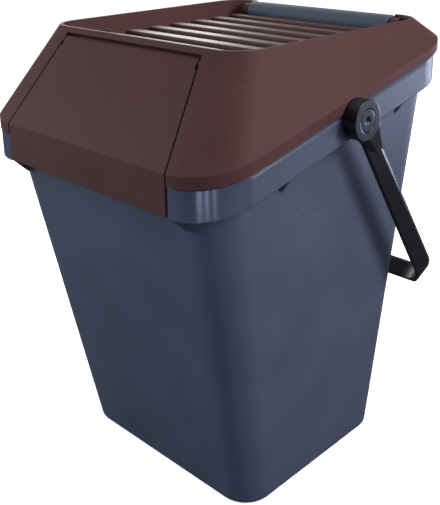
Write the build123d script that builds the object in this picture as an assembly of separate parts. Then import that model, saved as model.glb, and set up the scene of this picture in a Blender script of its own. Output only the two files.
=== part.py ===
from build123d import *
import os
from math import acos, atan2, cos, degrees, hypot, radians, sin, sqrt, tan

# Stackable front-opening bin: millimetres, +Z up, front towards -Y
# The origin is the middle of the flat base

# Bin
overall_height = 490.0
base_width = 268.0
base_depth = 235.0
base_corner = 34.0
base_edge_round = 7.0
wall = 3.0
floor = 3.5

# Rim, whose plane falls towards the front; the lid's rise is taken over the middle of the base
rim_width = 344.5
rim_front = 203.3
rim_back = 163.2
rim_corner = 48.0
lid_rise = 61.4
rim_height = 29.0
rim_slope = 12.0
side_overhang = 12.6
front_overhang = 18.0
back_overhang = 12.5
mouth_corner = 38.0
lip_inset = 4.0
lip_height = 5.0
lip_thickness = 2.5
lip_rear_stop = 60.0
side_pad_proud = 2.0
side_pad_front = 157.0
side_pad_rear_stop = 51.0
side_pad_edge = 1.6
pocket_depth = 6.5
gusset_thickness = 3.0
gusset_drop = 16.0
gusset_places = (-98.0, 81.0)

# Rear hinge: the bar belongs to the bin, the pins to the lid
hinge_inset = 10.7
hinge_drop = 11.7
hinge_bar_radius = 11.5
hinge_bar_length = 205.0
hinge_bar_webs = 5
hinge_bore_depth = 20.0
hinge_boss_radius = 8.0
hinge_pin_radius = 4.0
hinge_pin_head_radius = 6.0
hinge_pin_head = 2.5
lug_boss_radius = 9.0
lug_boss_length = 10.0

# Lid
lid_width = 349.8
lid_front = 204.5
lid_back = 168.5
lid_corner = 52.5
lid_wall = 2.8
lid_gap_front = 0.4
lid_gap_back = 3.2
band_top_above_rim = 12.0
top_width = 280.2
top_front = 134.2
top_back = 161.0
top_corner = 33.0

# Tray in the lid's top, with ribs for the next bin to stand on
tray_depth = 22.0
tray_edge = 3.5
tray_draft = 3.0
rib_height = 7.0
rib_width = 16.0
rib_front_gap = 13.2
rib_length = 236.0
rib_count = 8
rib_edge_round = 2.5

# Flap in the lid's front slope
flap_top_width = 195.2
flap_fold_width = 238.8
flap_top_drop = 6.2
flap_rim_reveal = 1.5
flap_thickness = 3.0
flap_gap = 1.8
flap_seat_gap = 0.6
flap_knuckle_radius = 5.0
flap_pin_radius = 2.5
flap_pin_length = 7.0
window_ledge = 8.0

# Handle
pivot_forward = 13.5
pivot_below_rim = 8.6
pivot_boss_radius = 9.0
pivot_boss_proud = 1.45
handle_head_radius = 20.0
handle_head_thickness = 14.0
handle_neck_width = 19.5
handle_end_width = 26.0
handle_neck_round = 26.0
handle_neck_fall = 12.0
handle_neck_ramp = 45.0
handle_neck_turn = 63.0
handle_neck_offset = 15.5
handle_reach = 279.0
handle_lean = 0.025
handle_arm_recess = 4.0
handle_arm_thickness = 5.5
handle_grip_thickness = 10.0
handle_corner = 34.0
handle_end_flat = 1.2
handle_crest = 5.8
handle_crest_slopes = (6.0, 17.0)
handle_palm_slope = 35.0
handle_pin_radius = 5.0
handle_pin_depth = 14.0
handle_cap_radius = 11.0
handle_cap_thickness = 3.0
handle_cap_dimple = 5.0

# Clearances
running_clearance = 0.05
side_clearance = 0.3
hinge_clearance = 1.5
rest_clearance = 0.6

# Places worked out from the sizes above
slope = tan(radians(rim_slope))
rim_level = overall_height - lid_rise
reach = 3 * overall_height
half_rim = rim_width / 2
half_lid = lid_width / 2
half_top = top_width / 2
hinge_y = rim_back - hinge_inset
hinge_z = overall_height - hinge_drop
notch_half = hinge_bar_length / 2 + hinge_clearance
lug_end = notch_half + lug_boss_length
tray_back = hinge_y - hinge_bar_radius - hinge_clearance
tray_front = tray_edge + tray_draft - top_front
tray_floor = overall_height - tray_depth
rib_pitch = (tray_back - rib_width - rib_front_gap - tray_front) / (rib_count - 1)
pivot_y = -pivot_forward


def on_rim(y, above=0.0):
    """Height of the rim's sloping top plane at a place y."""
    return rim_level + above + slope * y


def below(start, end):
    """Block under the plane that runs across the bin through two (y, z) points."""
    steepness = (end[1] - start[1]) / (end[0] - start[0])
    low = start[1] - steepness * (start[0] + reach)
    high = start[1] + steepness * (reach - start[0])
    profile = Polygon((-reach, -reach), (reach, -reach), (reach, high), (-reach, low), align=None)
    return extrude(Plane.YZ * profile, reach / 2, both=True)


def under_rim_plane(above):
    return below((0, rim_level + above), (1, rim_level + above + slope))


def outline(half_width, front, back, corner):
    """Rounded rectangle seen from above, between two places y."""
    return Pos(0, (front + back) / 2) * RectangleRounded(2 * half_width, back - front, corner)


def prism(face, low=0.0, high=None):
    top = overall_height + 60 if high is None else high
    return extrude(Pos(0, 0, low) * face, top - low)


def block(x_range, y_range, z_range):
    size = [high - low for low, high in (x_range, y_range, z_range)]
    middle = [(high + low) / 2 for low, high in (x_range, y_range, z_range)]
    return Pos(*middle) * Box(*size)


def both_sides(shape):
    return shape + mirror(shape, Plane.YZ)


def rod(radius, start, end, y, z):
    """Round bar along X."""
    return Pos((start + end) / 2, y, z) * Rot(0, 90, 0) * Cylinder(radius, end - start)


# Bin body

side_seat = half_rim - side_overhang
front_seat = rim_front - front_overhang
back_seat = rim_back - back_overhang
side_seat_z = on_rim(0) - rim_height
front_seat_z = on_rim(-front_seat) - rim_height
back_seat_z = on_rim(back_seat) - rim_height


def wall_section(z, inset=0.0):
    """Bin wall's outline at a height, on straight leans from the base to under the rim."""
    half = base_width / 2 + (side_seat - base_width / 2) * z / side_seat_z - inset
    front = base_depth / 2 + (front_seat - base_depth / 2) * z / front_seat_z - inset
    back = base_depth / 2 + (back_seat - base_depth / 2) * z / back_seat_z - inset
    corner = base_corner + (mouth_corner - base_corner) * z / side_seat_z - inset
    return Pos(0, 0, z) * outline(half, -front, back, corner)


def bucket():
    top = on_rim(rim_back) + wall
    outside = loft([wall_section(0), wall_section(top)], ruled=True)
    bottom_edges = outside.faces().sort_by(Axis.Z)[0].edges()
    outside = fillet(bottom_edges, base_edge_round)
    inside = loft([wall_section(floor, wall), wall_section(top, wall)], ruled=True)
    return outside & under_rim_plane(0), inside


def flap_pocket(grow=0.0):
    """Step in the rim's front that the flap's apron hangs in."""
    half = flap_fold_width / 2 + flap_gap + grow
    return block((-half, half), (-rim_front - wall, -rim_front + pocket_depth + grow), (0, overall_height))


def rim(inside):
    rim_outline = outline(half_rim, -rim_front, rim_back, rim_corner)
    skirt_inside = outline(half_rim - wall, wall - rim_front, rim_back - wall, rim_corner - wall)
    body = prism(rim_outline) - flap_pocket()
    hollow = prism(skirt_inside) - flap_pocket(wall)
    height_range = under_rim_plane(0) - under_rim_plane(-rim_height)
    skirt = (body - hollow) & height_range
    shelf = (body - inside) & (under_rim_plane(0) - under_rim_plane(-wall))
    near, far = lip_inset, lip_inset + lip_thickness
    lip_outside = outline(half_rim - near, near - rim_front, rim_back - near, rim_corner - near)
    lip_inside = outline(half_rim - far, far - rim_front, rim_back - far, rim_corner - far)
    lip = (prism(lip_outside) - prism(lip_inside) - flap_pocket(wall)) & (
        under_rim_plane(lip_height) - under_rim_plane(-wall)
    )
    lip -= block((-half_rim, half_rim), (rim_back - lip_rear_stop, reach), (0, reach))
    return skirt + shelf + lip


def side_pads():
    """Flat panels that stand proud on both sides of the rim and carry the handle's bosses."""
    pad = block(
        (half_rim - wall / 2, half_rim + side_pad_proud),
        (-side_pad_front, rim_back - side_pad_rear_stop),
        (0, overall_height),
    )
    pad &= under_rim_plane(-1) - under_rim_plane(-rim_height)
    outer_edges = pad.faces().sort_by(Axis.X)[-1].edges()
    return both_sides(chamfer(outer_edges, side_pad_edge))


def gusset(seat, skirt, rim_z):
    """Upright rib from the wall out to the skirt, whose tip runs down the wall below the rim."""
    top, low = rim_z - wall / 2, rim_z - rim_height
    inside = seat - 3 * wall
    profile = Polygon(
        (inside, top),
        (skirt, top),
        (skirt, low),
        (seat, low - gusset_drop),
        (inside, low - gusset_drop),
        align=None,
    )
    return extrude(Plane.XZ * profile, gusset_thickness / 2, both=True)


def rim_gussets(outside):
    """Two gussets on each side, and one beside each edge of the flap."""
    jamb = flap_fold_width / 2 + flap_gap + wall / 2
    front = gusset(front_seat, rim_front - wall / 2, on_rim(-rim_front))
    gussets = Pos(jamb) * Rot(0, 0, -90) * front
    for place in gusset_places:
        gussets += Pos(0, place) * gusset(side_seat, half_rim - wall / 2, on_rim(place))
    return both_sides(gussets - outside)


def hinge_bar():
    """Open-bottomed half-round hood on webs, with a pin bore in each end."""
    half = hinge_bar_length / 2
    back = hinge_y + hinge_bar_radius
    foot = on_rim(hinge_y) - wall
    full = (-half, half)
    stand = block(full, (back_seat, back), (foot, hinge_z)) - block(
        full, (back_seat - 1, rim_back), (0, foot)
    )
    stand = stand - (under_rim_plane(-wall / 2))
    solid = rod(hinge_bar_radius, -half, half, hinge_y, hinge_z) + stand
    hollow = rod(hinge_bar_radius - wall, -half, half, hinge_y, hinge_z)
    hollow += block(full, (hinge_y - hinge_bar_radius, back - wall), (0, hinge_z - hinge_bar_radius / 2))
    step = (hinge_bar_length - wall) / (hinge_bar_webs - 1)
    for number in range(hinge_bar_webs):
        web = -half + number * step
        hollow -= block((web, web + wall), (0, reach), (0, reach))
    bar = solid - hollow
    for side in (-1, 1):
        start, end = sorted((side * half, side * (half - hinge_bore_depth)))
        bar += rod(hinge_boss_radius, start, end, hinge_y, hinge_z)
        bar -= rod(hinge_pin_radius + running_clearance, start, end, hinge_y, hinge_z)
    return bar


pivot_z = on_rim(pivot_y) - pivot_below_rim
boss_face = half_rim + side_pad_proud + pivot_boss_proud


def make_bin_body():
    outside, inside = bucket()
    body = (outside - inside) + rim(inside) + side_pads() + rim_gussets(outside) + hinge_bar()
    wall_at_pivot = base_width / 2 + (side_seat - base_width / 2) * pivot_z / side_seat_z
    boss = rod(pivot_boss_radius, wall_at_pivot - wall / 2, boss_face, pivot_y, pivot_z)
    bore = rod(handle_pin_radius, boss_face - handle_pin_depth, boss_face + 1, pivot_y, pivot_z)
    body += both_sides(boss)
    return body - both_sides(bore)


# Lid

band_top = rim_level + band_top_above_rim


def lid_form(inset=0.0):
    """Upright band under a wedge that runs from the sloping band to the level top."""
    half, front, back = half_lid - inset, inset - lid_front, lid_back - inset
    band = prism(outline(half, front, back, lid_corner - inset)) & under_rim_plane(band_top_above_rim)
    band_face = band.faces().sort_by(Axis.Z)[-1]
    top = outline(half_top - inset, inset - top_front, top_back - inset, top_corner - inset)
    wedge = loft([band_face, Pos(0, 0, overall_height) * top], ruled=True)
    return band + wedge


def tray(grow=0.0):
    """The recess in the top, drawn in towards its floor."""
    high = tray_edge - grow
    low = high + tray_draft
    top = outline(half_top - high, high - top_front, top_back - high, top_corner - high)
    bottom = outline(half_top - low, low - top_front, top_back - low, top_corner - low)
    return loft(
        [Pos(0, 0, tray_floor - grow) * bottom, Pos(0, 0, overall_height + 0.01) * top], ruled=True
    )


def tray_ribs():
    """Rounded ribs across the tray; the last one closes its rear edge at the hinge."""
    ribs = Part()
    for number in range(rib_count):
        back = tray_back - number * rib_pitch
        rib = block(
            (-rib_length / 2, rib_length / 2),
            (back - rib_width, back),
            (tray_floor - lid_wall / 2, tray_floor + rib_height),
        )
        top_edges = rib.faces().sort_by(Axis.Z)[-1].edges()
        ribs += fillet(top_edges, rib_edge_round)
    return ribs


# Flap frame: the lid's front slope from the fold up to the top's front edge
fold_y = -lid_front
fold_z = on_rim(fold_y, band_top_above_rim)
slope_run = lid_front - top_front
slope_rise = overall_height - fold_z
slope_length = hypot(slope_run, slope_rise)
front_slope = Plane(
    origin=(0, fold_y, fold_z), x_dir=(1, 0, 0), z_dir=(0, -slope_rise / slope_length, slope_run / slope_length)
)
flap_length = slope_length - flap_top_drop * slope_length / slope_rise
apron_bottom = on_rim(-rim_front) - rim_height + flap_rim_reveal
seat_depth = flap_thickness + flap_seat_gap
knuckle_middle = front_slope.from_local_coords((0, flap_length - flap_knuckle_radius, -flap_knuckle_radius))
knuckle_y, knuckle_z = knuckle_middle.Y, knuckle_middle.Z
hinge_jamb = flap_top_width / 2 + flap_gap


def flap_form(grow, depth, lift=0.0, bottom=None):
    """Sloping panel and upright apron, grown sideways and taken to a depth behind the outer face."""
    half_fold = flap_fold_width / 2 + grow
    half_top_edge = flap_top_width / 2 + grow
    panel = Polygon(
        (-half_fold, 0),
        (half_fold, 0),
        (half_top_edge, flap_length + grow),
        (-half_top_edge, flap_length + grow),
        align=None,
    )
    panel = extrude(front_slope.offset(-depth) * panel, depth + lift)
    low = apron_bottom if bottom is None else bottom
    apron = block((-half_fold, half_fold), (fold_y - lift, fold_y + depth), (low, fold_z))
    return panel + apron


def window():
    """Opening behind the flap, inside a ledge that the flap's edges rest on."""
    half_fold = flap_fold_width / 2 - window_ledge
    half_top_edge = flap_top_width / 2 - window_ledge
    opening = Polygon(
        (-half_fold, window_ledge),
        (half_fold, window_ledge),
        (half_top_edge, flap_length + flap_gap),
        (-half_top_edge, flap_length + flap_gap),
        align=None,
    )
    depth = seat_depth + lid_wall + flap_seat_gap
    return extrude(front_slope.offset(-depth) * opening, 2 * depth)


def knuckle_rod(radius, half_length):
    return rod(radius, -half_length, half_length, knuckle_y, knuckle_z)


def make_lid():
    outside = lid_form()
    gap_start = (-lid_front, on_rim(-lid_front) + lid_gap_front)
    gap_end = (lid_back, on_rim(lid_back) + lid_gap_back)
    outside -= below(gap_start, gap_end)
    rear_notch = block((-notch_half, notch_half), (tray_back, reach), (0, reach))
    notch_wall = block(
        (-notch_half - lid_wall, notch_half + lid_wall), (tray_back - lid_wall, reach), (0, reach)
    )
    cavity = lid_form(lid_wall * slope_length / slope_rise) - tray(lid_wall) - notch_wall
    lid = outside - cavity

    frame = flap_form(flap_gap + lid_wall, seat_depth + lid_wall, bottom=0)
    lid += frame & outside
    lid -= flap_form(flap_gap, seat_depth, lift=lid_wall, bottom=0)
    lid -= window()
    lid -= knuckle_rod(flap_knuckle_radius + hinge_clearance, hinge_jamb)
    boss_end = hinge_jamb + flap_pin_length + lid_wall / 2
    boss = rod(flap_knuckle_radius, hinge_jamb, boss_end, knuckle_y, knuckle_z) & outside
    lid += both_sides(boss)
    lid -= knuckle_rod(flap_pin_radius + running_clearance, hinge_jamb + flap_pin_length)

    lid = lid - tray() + (tray_ribs() & outside)
    lug = rod(lug_boss_radius, notch_half, lug_end, hinge_y, hinge_z) & outside
    head_end = lug_end + hinge_pin_head + side_clearance
    head_seat = rod(hinge_pin_head_radius + side_clearance, lug_end, head_end, hinge_y, hinge_z)
    lid = lid + both_sides(lug) - both_sides(head_seat)
    lid -= rear_notch
    knuckle_sweep = lid_back - hinge_y + 0.1
    rear_low = block((-half_lid, half_lid), (hinge_y, reach), (0, hinge_z))
    lid -= rear_low - rod(knuckle_sweep, -half_lid, half_lid, hinge_y, hinge_z)
    lid -= rod(hinge_pin_radius, -lug_end, lug_end, hinge_y, hinge_z)
    return lid


def make_front_flap():
    flap = flap_form(0, flap_thickness)
    half = flap_top_width / 2
    top_strip = front_slope.offset(-flap_knuckle_radius) * (
        Pos(0, flap_length) * Rectangle(4 * half, 2 * flap_knuckle_radius)
    )
    flap -= extrude(top_strip, 2 * flap_knuckle_radius)
    corner = front_slope.offset(-flap_knuckle_radius) * (
        Pos(half + flap_gap, flap_length) * Rectangle(2 * flap_gap, 5 * flap_knuckle_radius)
    )
    flap -= both_sides(extrude(corner, 2 * flap_knuckle_radius))
    flap += knuckle_rod(flap_knuckle_radius, half)
    return flap + knuckle_rod(flap_pin_radius, hinge_jamb + flap_pin_length - side_clearance)


# Handle

head_inner = boss_face + side_clearance
head_outer = head_inner + handle_head_thickness
arm_outer = head_outer - handle_arm_recess
arm_inner = arm_outer - handle_arm_thickness
grip_near = handle_reach - handle_grip_thickness

# The hanging handle's grip leans on the bin's back wall
wall_lean = (back_seat - base_depth / 2) / back_seat_z
wall_distance = (base_depth / 2 + wall_lean * pivot_z - pivot_y) / sqrt(1 + wall_lean**2)
grip_corner = hypot(grip_near, handle_end_width / 2)
grip_turn = degrees(acos((wall_distance + rest_clearance) / grip_corner))
hang_angle = grip_turn + degrees(atan2(wall_lean, 1)) - degrees(atan2(handle_end_width / 2, grip_near))

# Views of the hanging handle: from the side, and square to the rear edge of its widening arms
arm_flare = atan2((handle_end_width - handle_neck_width) / 2, handle_reach)
edge_turn = radians(hang_angle) - arm_flare
across_arms = (0, sin(radians(hang_angle)), cos(radians(hang_angle)))
side_view = Plane(origin=(0, pivot_y, pivot_z), x_dir=across_arms, z_dir=(1, 0, 0))
grip_view = Plane(origin=(0, pivot_y, pivot_z), x_dir=(1, 0, 0), z_dir=(0, sin(edge_turn), cos(edge_turn)))


def bail_outline(half_top, end, corner):
    """Outer or inner edge of the bail: two arms that lean in, and the end that joins them."""
    top = -2 * handle_head_radius
    half_end = half_top - handle_lean * end
    shape = Polygon((-half_top, top), (half_top, top), (half_end, end), (-half_end, end), align=None)
    return fillet(shape.vertices().sort_by(Axis.Y)[-2:], corner)


def sloped(face, start, amount, slope_angle):
    """Face drawn out across the arms from a place on their width, with sloping sides."""
    direction = (0, 0, 1) if amount > 0 else (0, 0, -1)
    grown = extrude(Pos(0, 0, start) * face, abs(amount), dir=direction, taper=slope_angle)
    return grip_view * grown


def neck_web(keyhole):
    """Swelling that takes the head's flat face down to the crest, and falls off slantwise in front."""
    size = 4 * handle_head_radius
    level = (arm_outer - handle_arm_thickness / 2, head_outer)
    web = keyhole & (side_view * block((-size, size), (-size, 0), level))
    above = block((-size, size), (-size, size), (0, size))
    fall = Pos(0, -handle_head_radius, head_outer) * Rot(handle_neck_fall, 0, 0)
    ramp = Rot(0, 0, -handle_neck_turn) * Pos(0, -handle_neck_offset, head_outer) * Rot(handle_neck_ramp, 0, 0)
    return web - side_view * (fall * above) - side_view * (ramp * above)


def make_handle():
    """The bail: a keyhole seen from the side, with a crest along its outer face."""
    half_neck = handle_neck_width / 2
    half_end = handle_end_width / 2
    arm = Polygon(
        (-half_neck, 0), (half_neck, 0), (half_end, -handle_reach), (-half_end, -handle_reach), align=None
    )
    keyhole = extrude(side_view * (Circle(handle_head_radius) + arm), rim_width, both=True)
    for nearest, farthest, radius in (
        (half_neck, 2 * handle_head_radius, handle_neck_round),
        (2 * handle_head_radius, 2 * handle_reach, half_end - handle_end_flat / 2),
    ):
        corners = [
            edge
            for edge in keyhole.edges().filter_by(Axis.X)
            if nearest < -side_view.to_local_coords(edge.center()).Y < farthest
        ]
        keyhole = fillet(corners, radius)

    outer = bail_outline(arm_outer, handle_reach, handle_corner)
    inner = bail_outline(arm_inner, grip_near, handle_corner - handle_arm_thickness)
    side = 2 * handle_head_radius
    low_slope, high_slope = handle_crest_slopes
    bail = sloped(outer, handle_crest, -side, low_slope) + sloped(outer, handle_crest, side, high_slope)
    bail -= sloped(inner, handle_crest, -side - handle_end_width, 0)
    bail -= sloped(inner, handle_crest, side + handle_end_width, -handle_palm_slope)
    handle = keyhole & bail
    head = rod(handle_head_radius, head_inner, head_outer, pivot_y, pivot_z)
    handle += both_sides(head + neck_web(keyhole))
    seat = rod(
        handle_cap_radius + side_clearance,
        head_outer - handle_cap_thickness - side_clearance,
        head_outer + 1,
        pivot_y,
        pivot_z,
    )
    bore = rod(handle_pin_radius + running_clearance, head_inner - 1, head_outer + 1, pivot_y, pivot_z)
    return handle - both_sides(seat) - both_sides(bore)


def make_handle_pin(side):
    """Push-in pin with a round dimpled cap, fixed in the bin's boss."""
    cap_start = head_outer - handle_cap_thickness
    pin = rod(handle_pin_radius, boss_face - handle_pin_depth, cap_start, pivot_y, pivot_z)
    pin += rod(handle_cap_radius, cap_start, head_outer, pivot_y, pivot_z)
    dimple = Pos(head_outer + handle_cap_dimple, pivot_y, pivot_z) * Sphere(1.3 * handle_cap_dimple)
    pin -= dimple
    return pin if side > 0 else mirror(pin, Plane.YZ)


def make_lid_hinge_pin(side):
    """Headed pin from the lid's lug into the end of the bin's hinge bar."""
    tip = hinge_bar_length / 2 - hinge_bore_depth + side_clearance
    pin = rod(hinge_pin_radius, tip, lug_end, hinge_y, hinge_z)
    pin += rod(hinge_pin_head_radius, lug_end, lug_end + hinge_pin_head, hinge_y, hinge_z)
    return pin if side > 0 else mirror(pin, Plane.YZ)


def export(name, shape):
    shape.label = name
    export_step(shape, f"parts/{name}.step")


if __name__ == "__main__":
    os.makedirs("parts", exist_ok=True)
    export("bin_body", make_bin_body())
    export("lid", make_lid())
    export("front_flap", make_front_flap())
    export("handle", make_handle())
    for side, name in ((1, "right"), (-1, "left")):
        export(f"handle_pin_{name}", make_handle_pin(side))
        export(f"lid_hinge_pin_{name}", make_lid_hinge_pin(side))
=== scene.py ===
import math

import bpy
import numpy as np
from mathutils import Matrix, Vector


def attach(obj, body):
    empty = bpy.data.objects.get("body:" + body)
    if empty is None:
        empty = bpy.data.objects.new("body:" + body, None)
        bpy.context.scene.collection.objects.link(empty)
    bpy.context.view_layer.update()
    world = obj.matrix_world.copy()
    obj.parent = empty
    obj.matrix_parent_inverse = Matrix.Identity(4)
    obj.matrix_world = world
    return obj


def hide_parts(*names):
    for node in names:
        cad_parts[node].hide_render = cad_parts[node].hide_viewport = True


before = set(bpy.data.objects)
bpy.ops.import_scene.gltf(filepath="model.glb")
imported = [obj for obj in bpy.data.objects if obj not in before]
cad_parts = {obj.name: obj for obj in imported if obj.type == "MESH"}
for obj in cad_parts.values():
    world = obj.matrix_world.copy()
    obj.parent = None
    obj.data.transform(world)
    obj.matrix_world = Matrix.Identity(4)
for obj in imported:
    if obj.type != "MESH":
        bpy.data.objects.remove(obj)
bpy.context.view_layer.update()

bl_info = {
    "name": "Stackable sorting bin",
    "version": (1, 0, 0),
    "blender": (4, 5, 0),
    "location": "3D View > Sidebar > Bin",
    "description": "Dresses the moulded bin, its lid, flap and handle on a pale floor",
    "category": "Object",
}

MM = 0.001
PHOTO_WIDTH = 440
PHOTO_HEIGHT = 505
SENSOR_WIDTH = 36.0


def linear(hex_colour):
    """One sRGB hex colour as linear red, green, blue and alpha."""
    channels = [int(hex_colour[i : i + 2], 16) / 255 for i in (1, 3, 5)]
    curve = [c / 12.92 if c <= 0.04045 else ((c + 0.055) / 1.055) ** 2.4 for c in channels]
    return (*curve, 1.0)


# Settings


def colour(name, description, hex_colour):
    return bpy.props.FloatVectorProperty(
        name=name,
        description=description,
        default=linear(hex_colour),
        size=4,
        min=0.0,
        max=1.0,
        subtype="COLOR",
    )


def number(name, description, default, **more):
    return bpy.props.FloatProperty(name=name, description=description, default=default, **more)


def millimetres(name, description, size):
    return number(name, f"{description}, in mm", size, min=0.001)


def fraction(name, description, default):
    return number(name, description, default, min=0.0, max=1.0, subtype="FACTOR")


def angle(name, description, degrees):
    return number(name, description, math.radians(degrees), subtype="ANGLE")


def power(name, description, watts):
    return number(name, description, watts, min=0.0, unit="POWER")


class MouldedPlastic(bpy.types.PropertyGroup):
    bin_colour: colour("Bin colour", "Slate-grey polypropylene of the bin", "#444a5c")
    lid_colour: colour("Lid colour", "Brown polypropylene of the lid and flap", "#4e3131")
    handle_colour: colour("Handle colour", "Black polypropylene of the handle", "#0c0c0f")
    bin_edge: millimetres("Bin's edges", "Radius that the bin's edges show", 1.5)
    lid_edge: millimetres("Lid's edges", "Radius that the lid's and flap's edges show", 1.2)
    handle_edge: millimetres("Handle's edges", "Radius that the handle's edges show", 2.2)
    bin_roughness: fraction("Bin's roughness", "Roughness of the bin's walls", 0.46)
    lid_roughness: fraction("Lid's roughness", "Roughness of the lid and flap", 0.62)
    handle_roughness: fraction("Handle's roughness", "Roughness of the handle and its pins", 0.28)
    bin_shine: fraction("Bin's shine", "Specular level of the bin", 0.5)
    lid_shine: fraction("Lid's shine", "Specular level of the lid and flap", 0.12)
    handle_shine: fraction("Handle's shine", "Specular level of the handle and its pins", 0.42)
    grain_size: millimetres("Grain size", "Width that the mould's fine grain is drawn at", 0.9)
    grain_depth: millimetres("Grain depth", "Depth of the fine grain", 0.03)
    flow_size: millimetres("Flow size", "Width of the melt's cloudy patches", 71.43)
    scuff_length: millimetres("Scuff length", "Length of the scuffs from handling", 71.43)
    scuff_gap: millimetres("Scuff gap", "Height from one scuff to the next", 4.167)


class MouldMarks(bpy.types.PropertyGroup):
    rim_slope: angle("Rim slope", "Fall of the rim's plane towards the front", 12.0)
    rim_level: millimetres("Rim level", "Height of the rim over the middle of the base", 428.6)
    rim_height: millimetres("Rim height", "Height of the rim's skirt", 29.0)
    pad_side: millimetres("Pad side", "Distance of the rim's side pads from the middle", 174.5)
    bar_foot: millimetres("Bar foot", "Height over which the hinge bar alone stands", 462.0)
    witness_level: millimetres("Line's level", "Height of the line that a mould joint left", 347.0)
    witness_side: millimetres("Line's side", "Distance from the middle past which it runs", 120.0)
    witness_middle: number("Line's middle", "Its middle from front to rear, in mm", -58.0)
    witness_half: millimetres("Line's half", "Half its length", 36.0)
    witness_fade: millimetres("Line's fade", "Length over which its ends fade", 10.0)


class PhotoView(bpy.types.PropertyGroup):
    azimuth: angle("Azimuth", "Turn of the camera round the bin", 44.582)
    elevation: angle("Elevation", "Height of the camera above the horizon", 18.836)
    roll: angle("Roll", "Turn of the camera about its own axis", -0.690)
    distance: number("Distance", "From the camera to what it looks at", 0.933183, unit="LENGTH")
    aim_height: number("Aim height", "Height of the middle of the bin", 0.245, unit="LENGTH")
    aim_side: number("Aim sideways", "Camera's shift to its right", -0.012698, unit="LENGTH")
    aim_up: number("Aim up", "Camera's shift upwards", 0.068207, unit="LENGTH")
    focal_pixels: number("Focal length", "Focal length in pixels of the photograph", 801.73)
    centre_row: number("Centre row", "Row of the photograph that the lens points at", 174.988)


class Studio(bpy.types.PropertyGroup):
    floor_colour: colour("Floor colour", "Pale floor", "#f6f6f6")
    surround_colour: colour("Surround colour", "Floor as the plastic sees it", "#4e4e52")
    key_power: power("Key", "Window at the right", 27.0)
    fill_power: power("Fill", "Light at the front left, raised enough to reach into the tray", 10.6)
    back_power: power("Back", "Window behind, which the tray's ribs mirror", 16.5)
    bounce_power: power("Bounce", "Low bluish light that the handle's head mirrors", 1.5)
    rear_power: power("Rear", "Light that the rear edge of the handle's arm mirrors", 7.5)
    strip_power: power("Strips", "Narrow lights that streak the rim's corner", 0.92)
    sky_strength: number("Sky", "Strength of the even light", 0.45)


# Materials

# Polypropylene's usual index of refraction, and the samples that round its edges
IOR = 1.49
EDGE_SAMPLES = 6

# Cloudy flow of the melt: the noise that counts as thin and as dense, the tint of each, as a share
# of the plastic's colour, and what each adds to the roughness
FLOW_NOISE = (0.3, 0.7)
FLOW_TINTS = (0.93, 1.09)
FLOW_ROUGHNESS = (-0.03, 0.04)

# Scuffs: the noise at which one starts and is full, its slant, the most that it covers, its tint as
# a share of the plastic's colour and a lift, which also paints the witness line's highlight, and
# what a full cover would add to the roughness
SCUFF_NOISE = (0.68, 0.78)
SCUFF_SLANT = (0.09, 0.06, 0.0)
SCUFF_COVER = 0.22
SCUFF_AND_HIGHLIGHT_TINT = (1.7, 0.02)
SCUFF_ROUGHNESS = 0.4

# Roughness of the dullest and of the glossiest places, as shares of the plastic's own
DULLEST = 1.6
GLOSSIEST = 0.4

# How polished the rim's skirt is at the front, and what is left of that at the rear and on the side
# pads, and the soft borders between them, in mm
RIM_POLISH = 1.1
REAR_SHARE = 0.25
PAD_SHARE = 0.1
RIM_BORDER = (-1.5, 0.5)
REAR_BORDER = (-50.0, 50.0)
PAD_BORDER = (-1.0, 0.0)

# The witness line's painted highlight: the most that it covers, and half its width where it is
# full and where it ends
WITNESS_HIGHLIGHT_COVER = 0.3
WITNESS_HALF_WIDTH = (0.2, 0.9)

# How polished the tops of the tray's ribs are, and the tray's inside, and the box round each: its
# middle and half size along x, y and z, in mm
POLISHED_BOXES = (
    (0.66, ((0.0, 118.5), (32.0, 150.0), (474.5, 2.1))),
    (0.27, ((0.0, 138.0), (-9.0, 109.0), (478.0, 10.5))),
)


def add(nodes, kind, inputs=(), **settings):
    """Adds one shader node with its settings and hands back its outputs. Its inputs go by name or
    in order, and each is a plain value or the socket that feeds it."""
    made = nodes.new(f"ShaderNode{kind}")
    for name, value in settings.items():
        setattr(made, name, value)
    for name, value in inputs.items() if isinstance(inputs, dict) else enumerate(inputs):
        if isinstance(value, bpy.types.NodeSocket):
            nodes.id_data.links.new(value, made.inputs[name])
        else:
            made.inputs[name].default_value = value
    return made.outputs


def new_material(name):
    material = bpy.data.materials.new(name)
    material.use_nodes = True
    nodes = material.node_tree.nodes
    nodes.clear()
    return material, nodes


def shade(plain, share, lift=0.0):
    """A paler or darker tint of one colour."""
    return tuple(min(1.0, share * c + lift) for c in plain[:3]) + (1.0,)


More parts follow.
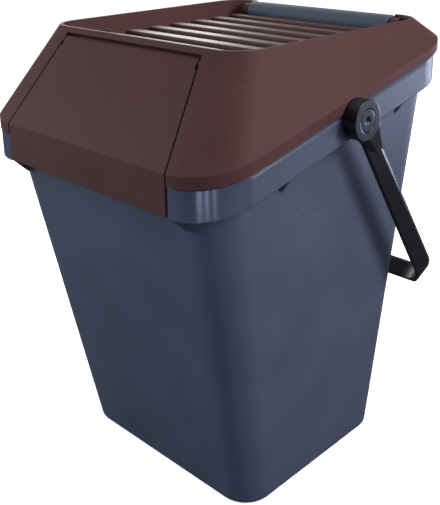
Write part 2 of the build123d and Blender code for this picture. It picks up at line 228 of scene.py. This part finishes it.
def moulded_polypropylene(name, base, roughness, shine, edge, polished=None, witness=None):
    """Injection-moulded polypropylene, copied from a finely eroded steel mould. To the eye it is
    satin and a little waxy: no clear reflections but broad soft sheens, a faintly cloudy colour
    where the melt flowed, pale level scuffs from handling, and edges with a thin highlight."""
    if name in bpy.data.materials:
        return bpy.data.materials[name]
    looks = bpy.context.scene.moulded_plastic
    material, nodes = new_material(name)
    place = add(nodes, "TexCoord")["Object"]

    # Cloudy flow of the melt, in patches a few centimetres wide
    flow = {"Vector": place, "Scale": 1 / (looks.flow_size * MM), "Detail": 3.0, "Roughness": 0.5}
    cloud = add(nodes, "MapRange", (add(nodes, "TexNoise", flow)["Fac"], *FLOW_NOISE))[0]
    darker, lighter = (shade(base, tint) for tint in FLOW_TINTS)
    tint = add(nodes, "Mix", {"Factor": cloud, 6: darker, 7: lighter}, data_type="RGBA")[2]
    satin = (roughness + change for change in FLOW_ROUGHNESS)
    rough = add(nodes, "MapRange", (cloud, 0.0, 1.0, *satin))[0]

    # Scuffs: long thin marks that lie nearly level, and are paler and duller
    along, across = (1 / (size * MM) for size in (looks.scuff_length, looks.scuff_gap))
    drawn_out = {"Vector": place, "Scale": (along, along, across), "Rotation": SCUFF_SLANT}
    marks = {"Vector": add(nodes, "Mapping", drawn_out)[0], "Scale": 1.0, "Detail": 2.0}
    scuff_and_highlight = add(nodes, "TexNoise", marks)["Fac"]
    scuff_and_highlight = add(nodes, "MapRange", (scuff_and_highlight, *SCUFF_NOISE, 0.0, SCUFF_COVER))[0]
    # The witness line's pale tint is a painted highlight, in place of the light its thin ridge
    # catches
    if witness is not None:
        scuff_and_highlight = add(nodes, "Math", (scuff_and_highlight, witness(nodes, place)), operation="MAXIMUM")[0]
    # Pale tint of the scuffs, also used as the witness line's painted highlight
    worn = shade(base, *SCUFF_AND_HIGHLIGHT_TINT)
    tint = add(nodes, "Mix", {"Factor": scuff_and_highlight, 6: tint, 7: worn}, data_type="RGBA")[2]
    rough = add(nodes, "Math", (scuff_and_highlight, SCUFF_ROUGHNESS, rough), operation="MULTIPLY_ADD")[0]

    # Places that the mould or wear has polished
    if polished is not None:
        gloss = add(nodes, "MapRange", (polished(nodes, place), -1.0, 1.0, DULLEST, GLOSSIEST))[0]
        rough = add(nodes, "Math", (rough, gloss), operation="MULTIPLY")[0]

    # Fine grain of the mould, which breaks up the sheen. A real one is about 0.1 mm wide, too fine
    # to show, so it is drawn as wide as a pixel of the render
    grain = {"Vector": place, "Scale": 1 / (looks.grain_size * MM), "Detail": 2.0}
    relief = {
        "Distance": looks.grain_depth * MM,
        "Height": add(nodes, "TexNoise", grain)["Fac"],
        "Normal": add(nodes, "Bevel", {"Radius": edge * MM}, samples=EDGE_SAMPLES)[0],
    }
    surface = {
        "Base Color": tint,
        "Roughness": rough,
        "IOR": IOR,
        "Specular IOR Level": shine,
        "Normal": add(nodes, "Bump", relief)[0],
    }
    add(nodes, "OutputMaterial", {"Surface": add(nodes, "BsdfPrincipled", surface)[0]})
    return material


def rim_levels(nodes, parts):
    """Height along the rim's slanting plane: z less y times the tangent of the plane's slope."""
    fall = -math.tan(bpy.context.scene.mould_marks.rim_slope)
    return add(nodes, "Math", (parts["Y"], fall, parts["Z"]), operation="MULTIPLY_ADD")[0]


def polished_rim(nodes, place):
    """How polished the bin is, from minus one to one. The rim's skirt comes from a polished part of
    the mould and is glossiest at the front, its side pads are dull, the hinge bar is dullest."""
    marks = bpy.context.scene.mould_marks
    parts = add(nodes, "SeparateXYZ", (place,))
    border = ((marks.rim_level - marks.rim_height + off) * MM for off in RIM_BORDER)
    skirt = add(nodes, "MapRange", (rim_levels(nodes, parts), *border, 0.0, RIM_POLISH))[0]
    side = add(nodes, "Math", (parts["X"],), operation="ABSOLUTE")[0]
    border = ((marks.pad_side + off) * MM for off in PAD_BORDER)
    pad = add(nodes, "MapRange", (side, *border, 1.0, PAD_SHARE))[0]
    border = (off * MM for off in REAR_BORDER)
    rear = add(nodes, "MapRange", (parts["Y"], *border, 1.0, REAR_SHARE))[0]
    glossy = add(nodes, "Math", (skirt, pad), operation="MULTIPLY")[0]
    glossy = add(nodes, "Math", (glossy, rear), operation="MULTIPLY")[0]
    bar = add(nodes, "Math", (parts["Z"], marks.bar_foot * MM), operation="GREATER_THAN")[0]
    return add(nodes, "Math", (glossy, bar), operation="SUBTRACT")[0]


def witness_line_highlight(nodes, place):
    """Painted highlight on the fine line that a joint in the mould leaves below the rim on each
    side: how far the scuffs' pale tint covers it, in place of the light that the line's thin ridge
    catches. The line follows the rim's plane, and fades at its borders and ends."""
    marks = bpy.context.scene.mould_marks
    parts = add(nodes, "SeparateXYZ", (place,))
    level = rim_levels(nodes, parts)
    off = add(nodes, "Math", (level, marks.witness_level * MM), operation="SUBTRACT")[0]
    off = add(nodes, "Math", (off,), operation="ABSOLUTE")[0]
    border = (width * MM for width in WITNESS_HALF_WIDTH)
    line = add(nodes, "MapRange", (off, *border, WITNESS_HIGHLIGHT_COVER, 0.0))[0]
    off = add(nodes, "Math", (parts["Y"], marks.witness_middle * MM), operation="SUBTRACT")[0]
    off = add(nodes, "Math", (off,), operation="ABSOLUTE")[0]
    border = ((marks.witness_half + fade) * MM for fade in (0.0, marks.witness_fade))
    ends = add(nodes, "MapRange", (off, *border, 1.0, 0.0))[0]
    side = add(nodes, "Math", (parts["X"],), operation="ABSOLUTE")[0]
    side = add(nodes, "Math", (side, marks.witness_side * MM), operation="GREATER_THAN")[0]
    line = add(nodes, "Math", (line, side), operation="MULTIPLY")[0]
    return add(nodes, "Math", (line, ends), operation="MULTIPLY")[0]


def polished_ribs(nodes, place):
    """How polished the lid is, from nought to one: the tops of the tray's ribs are rubbed smooth by
    the bins that stand on them, and the tray's inside a little. Each place is one upright box."""
    parts = add(nodes, "SeparateXYZ", (place,))
    shares = []
    for share, box in POLISHED_BOXES:
        for axis, (middle, half) in zip("XYZ", box):
            reach = (parts[axis], middle * MM, half * MM)
            inside = add(nodes, "Math", reach, operation="COMPARE")[0]
            share = add(nodes, "Math", (inside, share), operation="MULTIPLY")[0]
        shares.append(share)
    return add(nodes, "Math", shares, operation="MAXIMUM")[0]


def grey_polypropylene():
    """The bin's plastic: satin slate grey, with a glossier rim that shows streaks of light."""
    looks = bpy.context.scene.moulded_plastic
    satin = (looks.bin_roughness, looks.bin_shine, looks.bin_edge)
    name = "grey_polypropylene"
    return moulded_polypropylene(name, looks.bin_colour, *satin, polished_rim, witness_line_highlight)


def brown_polypropylene():
    """The lid's plastic: from a coarser mould, so nearly matt, with a sheen on the worn ribs."""
    looks = bpy.context.scene.moulded_plastic
    matt = (looks.lid_roughness, looks.lid_shine, looks.lid_edge)
    return moulded_polypropylene("brown_polypropylene", looks.lid_colour, *matt, polished_ribs)


def black_polypropylene():
    """The handle's plastic: from a smooth mould, so black with clear thin highlights."""
    looks = bpy.context.scene.moulded_plastic
    glossy = (looks.handle_roughness, looks.handle_shine, looks.handle_edge)
    return moulded_polypropylene("black_polypropylene", looks.handle_colour, *glossy)


def painted_floor():
    """Matt painted floor: white to the camera where no shadow falls, because it gives off a little
    light to camera rays, and darker grey to all other rays, so that the plastic keeps its tone."""
    studio = bpy.context.scene.studio
    material, nodes = new_material("painted_floor")
    seen = add(nodes, "LightPath")["Is Camera Ray"]
    paints = {"Factor": seen, 6: studio.surround_colour, 7: studio.floor_colour}
    matt = {"Color": add(nodes, "Mix", paints, data_type="RGBA")[2]}
    lift = {"Strength": add(nodes, "Math", (seen, FLOOR_LIFT), operation="MULTIPLY")[0]}
    both = (add(nodes, "BsdfDiffuse", matt)[0], add(nodes, "Emission", lift)[0])
    add(nodes, "OutputMaterial", {"Surface": add(nodes, "AddShader", both)[0]})
    return material


# Piece helpers

# Step of the grid on which corners are joined, in mm
JOIN_GRID = 0.002


def finished_copy(node, name, body, material):
    """The node's loose triangles joined at their corners, with the curved faces' own normals kept:
    corners that fall on one point of a fine grid become one vertex."""
    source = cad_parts[node].data
    places = np.empty(3 * len(source.vertices))
    source.vertices.foreach_get("co", places)
    index = np.empty(len(source.loops), np.int32)
    source.loops.foreach_get("vertex_index", index)
    normals = np.empty(3 * len(source.loops), np.float32)
    source.corner_normals.foreach_get("vector", normals)
    grid = JOIN_GRID * MM
    steps = np.round(places.reshape(-1, 3) / grid).astype(np.int64)
    joined, where = np.unique(steps, axis=0, return_inverse=True)
    triangles = where.reshape(-1)[index].reshape(-1, 3)
    whole = (triangles != np.roll(triangles, 1, axis=1)).all(axis=1)
    mesh = bpy.data.meshes.new(name)
    mesh.from_pydata(joined * grid, [], triangles[whole])
    mesh.shade_smooth()
    mesh.normals_split_custom_set(normals.reshape(-1, 3, 3)[whole].reshape(-1, 3))
    mesh.materials.append(material)
    piece = bpy.data.objects.new(name, mesh)
    bpy.context.scene.collection.objects.link(piece)
    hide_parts(node)
    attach(piece, body)
    return piece


# Operators


class DressBin(bpy.types.Operator):
    """Gives the bin its moulded finish"""

    bl_idname = "bin_scene.dress_bin"
    bl_label = "Bin"

    def execute(self, context):
        piece = finished_copy("bin_body", "bin_shell", "bin", grey_polypropylene())
        return {"FINISHED"}


class DressLid(bpy.types.Operator):
    """Gives the lid and its hinge pins their moulded finish"""

    bl_idname = "bin_scene.dress_lid"
    bl_label = "Lid"

    def execute(self, context):
        brown = brown_polypropylene()
        piece = finished_copy("lid", "lid_shell", "lid", brown)
        for side in ("right", "left"):
            pin = finished_copy(f"lid_hinge_pin_{side}", f"hinge_pin_{side}", "lid", brown)
        return {"FINISHED"}


class DressFlap(bpy.types.Operator):
    """Gives the front flap its moulded finish"""

    bl_idname = "bin_scene.dress_flap"
    bl_label = "Flap"

    def execute(self, context):
        piece = finished_copy("front_flap", "flap_panel", "flap", brown_polypropylene())
        return {"FINISHED"}


class DressHandle(bpy.types.Operator):
    """Gives the handle and its push-in pins their finish"""

    bl_idname = "bin_scene.dress_handle"
    bl_label = "Handle"

    def execute(self, context):
        black = black_polypropylene()
        piece = finished_copy("handle", "carrying_handle", "handle", black)
        for side in ("right", "left"):
            pin = finished_copy(f"handle_pin_{side}", f"pivot_pin_{side}", "bin", black)
        return {"FINISHED"}


class SetStage(bpy.types.Operator):
    """Lays the pale floor and sets the lights and the camera"""

    bl_idname = "bin_scene.set_stage"
    bl_label = "Stage"

    def execute(self, context):
        lay_floor(context)
        set_lights(context)
        set_sky(context)
        set_camera(context)
        return {"FINISHED"}


# Stage helpers

WHITE = (1.0, 1.0, 1.0)

# Place, aim and size of each soft light, in metres, and its linear colour
LIGHTS = {
    "key": ((1.48, 0.5, 1.2), (0.1, 0, 0.35), (0.6, 0.6), WHITE),
    "fill": ((-0.84, -0.98, 0.7), (-0.05, -0.1, 0.33), (0.5, 0.5), (0.86, 0.98, 1.0)),
    "back": ((-1.5, 0.98, 1.1), (0, 0, 0.48), (0.85, 0.95), WHITE),
    "bounce": ((1.1, 1.05, 0.12), (0.17, 0, 0.36), (0.9, 0.3), (0.6, 0.64, 1.0)),
    "rear": ((0.52, 1.56, 0.25), (0.19, 0, 0.3), (0.6, 0.4), (0.72, 0.77, 1.0)),
}

# The narrow upright lights round the rim's front corner: that corner, how far off and how high they
# stand, their length and linear colour, then each one's turn in degrees, width and share of power
RIM_CORNER = (0.16, -0.19)
STRIP_DISTANCE = 0.9
STRIP_HEIGHT = 0.12
STRIP_LENGTH = 0.22
STRIP_COLOUR = (0.58, 0.68, 1.0)
STRIPS = ((-68, 0.16, 1.0), (-52, 0.06, 0.7), (-36, 0.04, 0.5))

# Linear tint of the even light, and its strength at the horizon and overhead, as shares of the
# sky's
SKY_TINT = (0.94, 1.0, 1.0)
DOME = (0.45, 1.35)

# Half the floor's side in metres, and the strength of the light that it gives off to the camera
FLOOR_HALF = 6.0
FLOOR_LIFT = 0.62


def lay_floor(context):
    """Flat square floor under the bin."""
    half = FLOOR_HALF
    outline = [(-half, -half, 0), (half, -half, 0), (half, half, 0), (-half, half, 0)]
    mesh = bpy.data.meshes.new("floor")
    mesh.from_pydata(outline, [], [(0, 1, 2, 3)])
    mesh.materials.append(painted_floor())
    floor = bpy.data.objects.new("floor", mesh)
    context.scene.collection.objects.link(floor)


def area_light(name, place, aim, size, watts, tint):
    data = bpy.data.lights.new(name, "AREA")
    data.shape = "RECTANGLE"
    data.size, data.size_y = size
    data.energy = watts
    data.color = tint
    lamp = bpy.data.objects.new(name, data)
    lamp.location = place
    lamp.rotation_euler = (Vector(aim) - Vector(place)).to_track_quat("-Z", "Y").to_euler()
    lamp.visible_camera = False
    bpy.context.scene.collection.objects.link(lamp)


def set_lights(context):
    """Soft lights round the bin, and the narrow ones whose streaks show on the rim's corner."""
    studio = context.scene.studio
    for name, (place, aim, size, tint) in LIGHTS.items():
        area_light(name, place, aim, size, getattr(studio, f"{name}_power"), tint)
    aim = Vector((*RIM_CORNER, STRIP_HEIGHT))
    for turn, width, share in STRIPS:
        way = Vector((math.cos(math.radians(turn)), math.sin(math.radians(turn)), 0))
        place, size = aim + STRIP_DISTANCE * way, (width, STRIP_LENGTH)
        area_light(f"strip_{-turn}", place, aim, size, share * studio.strip_power, STRIP_COLOUR)


def set_sky(context):
    """Even light that grows from the horizon to overhead. Camera rays alone see white: nothing here
    is metal or glass, and glossy rays that saw white would wash out the plastic."""
    world = bpy.data.worlds.new("sky")
    context.scene.world = world
    world.use_nodes = True
    nodes = world.node_tree.nodes
    nodes.clear()
    seen = add(nodes, "LightPath")["Is Camera Ray"]
    direction = add(nodes, "TexCoord")["Generated"]
    height = add(nodes, "SeparateXYZ", (direction,))["Z"]
    horizon, overhead = (share * context.scene.studio.sky_strength for share in DOME)
    dome = add(nodes, "MapRange", (height, 0.0, 1.0, horizon, overhead))[0]
    strength = add(nodes, "Math", (seen, dome), operation="MAXIMUM")[0]
    tints = {"Factor": seen, 6: (*SKY_TINT, 1.0), 7: (*WHITE, 1.0)}
    tint = add(nodes, "Mix", tints, data_type="RGBA")[2]
    sky = add(nodes, "Background", {"Color": tint, "Strength": strength})[0]
    add(nodes, "OutputWorld", {"Surface": sky})
    context.scene.view_settings.view_transform = "Standard"


def set_camera(context):
    """Camera whose right, up and back directions follow from the view's angles."""
    view = context.scene.photo_view
    turn, rise, roll = view.azimuth, view.elevation, view.roll
    level_right = Vector((math.cos(turn), math.sin(turn), 0))
    outwards = Vector((math.sin(turn), -math.cos(turn), 0))
    back = outwards * math.cos(rise) + Vector((0, 0, math.sin(rise)))
    level_up = back.cross(level_right)
    right = level_right * math.cos(roll) + level_up * math.sin(roll)
    up = level_up * math.cos(roll) - level_right * math.sin(roll)
    aim = Vector((0, 0, view.aim_height)) + right * view.aim_side + up * view.aim_up
    data = bpy.data.cameras.new("photo_camera")
    long_side = max(PHOTO_WIDTH, PHOTO_HEIGHT)
    data.sensor_width = SENSOR_WIDTH
    data.lens = view.focal_pixels / long_side * SENSOR_WIDTH
    data.shift_y = (view.centre_row - PHOTO_HEIGHT / 2) / long_side
    camera = bpy.data.objects.new("photo_camera", data)
    axes = Matrix((right, up, back)).transposed().to_4x4()
    camera.matrix_world = Matrix.Translation(aim + back * view.distance) @ axes
    context.scene.collection.objects.link(camera)
    context.scene.camera = camera


class BinPanel(bpy.types.Panel):
    """Lists the bin's settings and its pieces"""

    bl_idname = "VIEW3D_PT_sorting_bin"
    bl_label = "Sorting bin"
    bl_space_type = "VIEW_3D"
    bl_region_type = "UI"
    bl_category = "Bin"

    def draw(self, context):
        for group_name in GROUPS:
            group = getattr(context.scene, group_name)
            box = self.layout.box()
            for name in group.bl_rna.properties.keys():
                if name not in {"rna_type", "name"}:
                    box.prop(group, name)
        for operator in OPERATORS:
            self.layout.operator(operator.bl_idname)


GROUPS = {
    "moulded_plastic": MouldedPlastic,
    "mould_marks": MouldMarks,
    "photo_view": PhotoView,
    "studio": Studio,
}
OPERATORS = (DressBin, DressLid, DressFlap, DressHandle, SetStage)


def register():
    for made in (*GROUPS.values(), *OPERATORS, BinPanel):
        bpy.utils.register_class(made)
    for name, group in GROUPS.items():
        setattr(bpy.types.Scene, name, bpy.props.PointerProperty(type=group))


def unregister():
    for name in GROUPS:
        delattr(bpy.types.Scene, name)
    for made in reversed((*GROUPS.values(), *OPERATORS, BinPanel)):
        bpy.utils.unregister_class(made)


def main():
    register()
    bpy.ops.bin_scene.dress_bin()
    bpy.ops.bin_scene.dress_lid()
    bpy.ops.bin_scene.dress_flap()
    bpy.ops.bin_scene.dress_handle()
    bpy.ops.bin_scene.set_stage()


if __name__ == "__main__":
    main()
